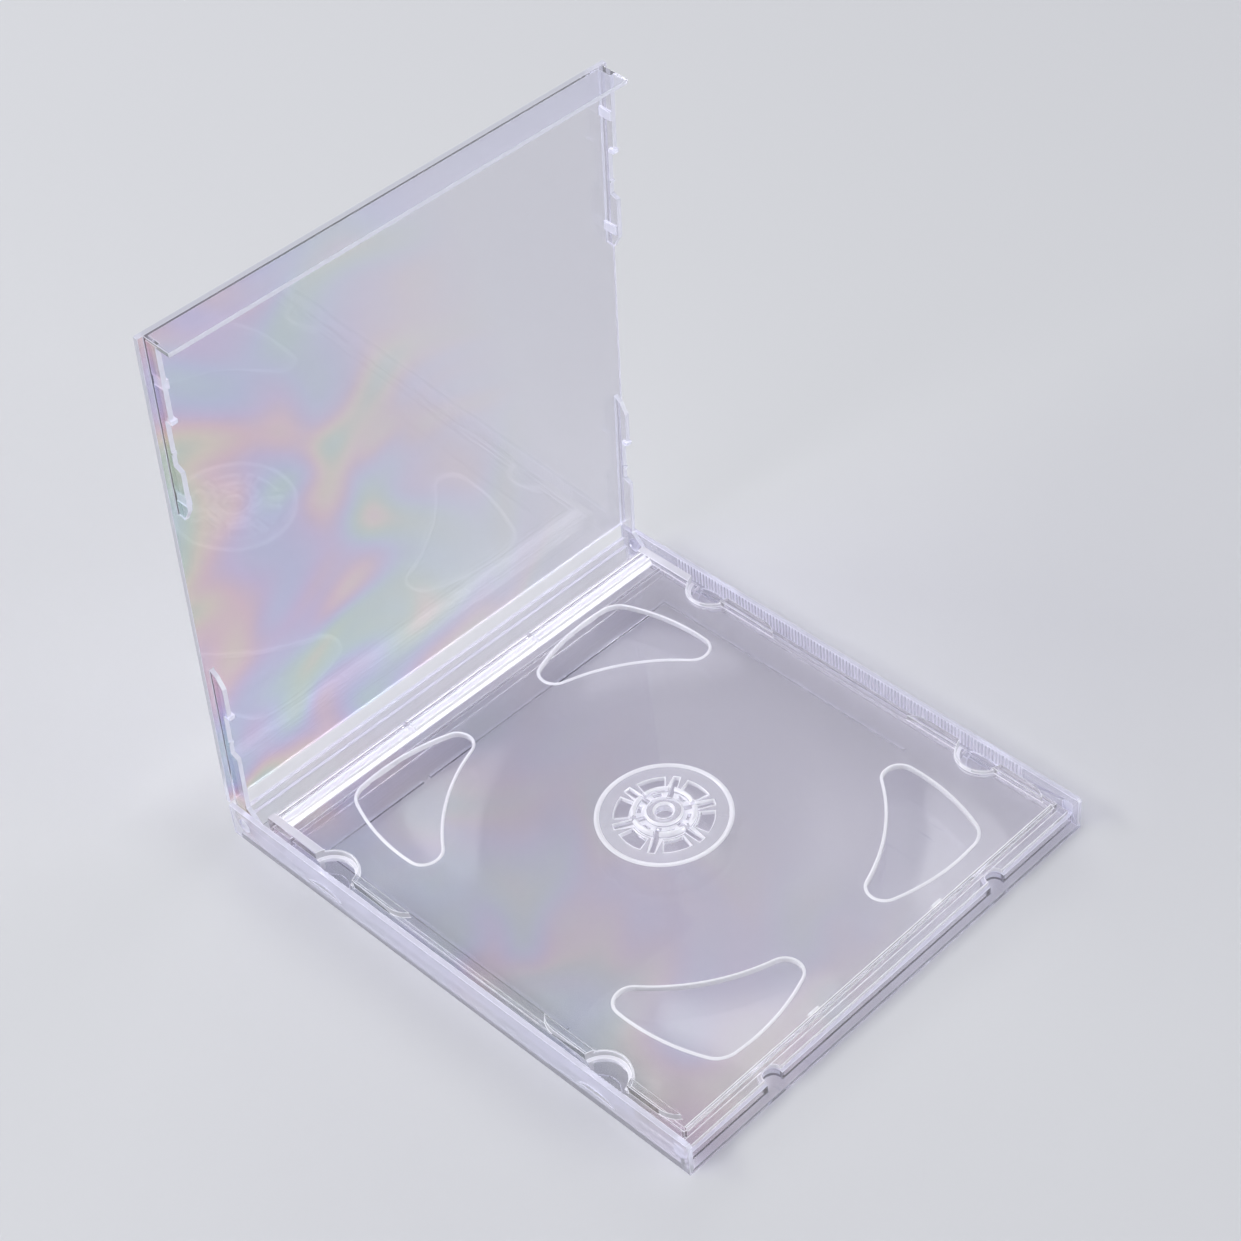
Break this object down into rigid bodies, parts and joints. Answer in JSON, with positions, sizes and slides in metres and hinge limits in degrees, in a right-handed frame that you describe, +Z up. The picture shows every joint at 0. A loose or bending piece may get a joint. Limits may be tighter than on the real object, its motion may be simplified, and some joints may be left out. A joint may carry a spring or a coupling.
{
  "type": "hinged disc case",
  "caption": "Thin hinged case in clear plastic, standing open, with a snap-in tray that holds a disc on a sprung hub.",
  "frame": {"origin": "middle of the underside of the base", "axes": "+X along the hinge, +Y towards the hinge side, +Z up, square to the base's floor"},
  "size_m": [0.125, 0.1424, 0.1428],
  "materials": {
    "clear_base": "clear polished polystyrene with satin outer walls",
    "clear_tray": "clear polished polystyrene",
    "clear_lid": "clear polished polystyrene"
  },
  "bodies": {
    "base": {"base": "clear_base", "tray": "clear_tray"},
    "lid": {"lid": "clear_lid"}
  },
  "joints": [
    {"name": "lid_hinge", "type": "hinge", "parent": "base", "child": "lid", "pos_m": [0, 0.0665, 0.0052], "axis": [1, 0, 0], "range_deg": [-93, 87]}
  ]
}
